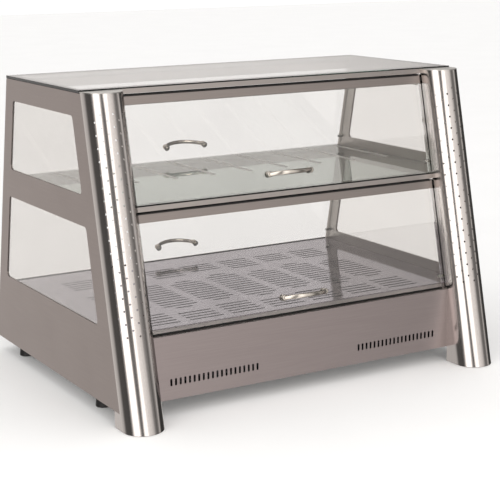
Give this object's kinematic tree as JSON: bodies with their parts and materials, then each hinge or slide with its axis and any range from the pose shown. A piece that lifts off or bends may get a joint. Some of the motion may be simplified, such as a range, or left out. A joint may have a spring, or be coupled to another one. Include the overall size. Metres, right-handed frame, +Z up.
{
  "type": "hot food display case",
  "caption": "Counter-top heated display case, two levels, leaning glass flap doors front and rear, perforated half-round corner columns, slotted steel deck and controls behind.",
  "frame": {"origin": "on the counter, at the centre of the case's footprint", "axes": "+X along the case's width, -Y towards the customers, +Z up"},
  "size_m": [0.86, 0.6878, 0.618],
  "materials": {
    "column_steel": "bright satin stainless steel",
    "cap_steel": "satin stainless steel",
    "panel_steel": "satin stainless steel, grain along the sheet",
    "rail_steel": "satin stainless steel",
    "deck_steel": "polished stainless steel sheet",
    "roof_glass": "polished toughened glass",
    "shelf_glass": "polished toughened glass, green edge",
    "pane_glass": "polished toughened glass",
    "black_silicone": "matte silicone",
    "clear_silicone": "translucent silicone",
    "nylon": "moulded black nylon",
    "handle_chrome": "satin nickel and chrome plate",
    "galvanised_steel": "zinc-coated sheet",
    "element_sheath": "oxidised heater sheath",
    "thermostat_case": "plated steel case",
    "copper": "drawn copper",
    "spindle_steel": "turned steel",
    "knob_plastic": "moulded black phenolic",
    "switch_plastic": "moulded black nylon",
    "rocker_plastic": "translucent green",
    "lamp_plastic": "translucent red lens",
    "gland_plastic": "moulded black nylon",
    "porcelain": "unglazed steatite",
    "foot_rubber": "moulded black rubber"
  },
  "bodies": {
    "case": {"base_bottom_pan": "galvanised_steel", "base_front_panel": "panel_steel", "base_rear_panel": "panel_steel", "cable_gland": "gland_plastic", "deck_plate": "deck_steel", "door_stops": "clear_silicone", "element_brackets": "galvanised_steel", "front_shelf_crossbar": "rail_steel", "front_top_crossbar": "rail_steel", "heat_shield": "galvanised_steel", "heating_elements": "element_sheath", "hinge_bushes": "nylon", "left_column": "column_steel", "left_column_cap": "cap_steel", "left_lower_window": "pane_glass", "left_side_liner": "panel_steel", "left_side_panel": "panel_steel", "left_upper_window": "pane_glass", "pilot_lamp": "lamp_plastic", "rear_shelf_crossbar": "rail_steel", "rear_top_crossbar": "rail_steel", "right_column": "column_steel", "right_column_cap": "cap_steel", "right_lower_window": "pane_glass", "right_side_liner": "panel_steel", "right_side_panel": "panel_steel", "right_upper_window": "pane_glass", "roof_glass": "roof_glass", "roof_seal": "black_silicone", "rubber_feet": "foot_rubber", "shelf_brackets": "rail_steel", "shelf_glass": "shelf_glass", "shelf_pads": "clear_silicone", "switch_housing": "switch_plastic", "terminal_block": "porcelain", "thermostat": "thermostat_case", "thermostat_bulb": "copper"},
    "front_upper_door": {"front_upper_door_glass": "pane_glass", "front_upper_door_handle": "handle_chrome", "front_upper_door_rail": "rail_steel", "front_upper_handle_screws": "handle_chrome", "front_upper_hinge_plugs": "nylon"},
    "front_lower_door": {"front_lower_door_glass": "pane_glass", "front_lower_door_handle": "handle_chrome", "front_lower_door_rail": "rail_steel", "front_lower_handle_screws": "handle_chrome", "front_lower_hinge_plugs": "nylon"},
    "rear_upper_door": {"rear_upper_door_glass": "pane_glass", "rear_upper_door_handle": "handle_chrome", "rear_upper_door_rail": "rail_steel", "rear_upper_handle_screws": "handle_chrome", "rear_upper_hinge_plugs": "nylon"},
    "rear_lower_door": {"rear_lower_door_glass": "pane_glass", "rear_lower_door_handle": "handle_chrome", "rear_lower_door_rail": "rail_steel", "rear_lower_handle_screws": "handle_chrome", "rear_lower_hinge_plugs": "nylon"},
    "knob": {"thermostat_knob": "knob_plastic", "thermostat_spindle": "spindle_steel"},
    "rocker": {"switch_rocker": "rocker_plastic"}
  },
  "joints": [
    {"name": "front_upper_door_hinge", "type": "hinge", "parent": "case", "child": "front_upper_door", "pos_m": [0, -0.15599, 0.59393], "axis": [-1, 0, 0], "range_deg": [0, 80]},
    {"name": "front_lower_door_hinge", "type": "hinge", "parent": "case", "child": "front_lower_door", "pos_m": [0, -0.20432, 0.37593], "axis": [-1, 0, 0], "range_deg": [0, 80]},
    {"name": "rear_upper_door_hinge", "type": "hinge", "parent": "case", "child": "rear_upper_door", "pos_m": [0, 0.21248, 0.59393], "axis": [1, 0, 0], "range_deg": [0, 80]},
    {"name": "rear_lower_door_hinge", "type": "hinge", "parent": "case", "child": "rear_lower_door", "pos_m": [0, 0.26081, 0.37593], "axis": [1, 0, 0], "range_deg": [0, 80]},
    {"name": "thermostat_turn", "type": "hinge", "parent": "case", "child": "knob", "pos_m": [-0.3, 0.32369, 0.12], "axis": [0, -0.9763, -0.2164], "range_deg": [0, 270]},
    {"name": "switch_rock", "type": "hinge", "parent": "case", "child": "rocker", "pos_m": [-0.22, 0.31978, 0.11913], "axis": [-1, 0, 0], "range_deg": [0, 18]}
  ]
}
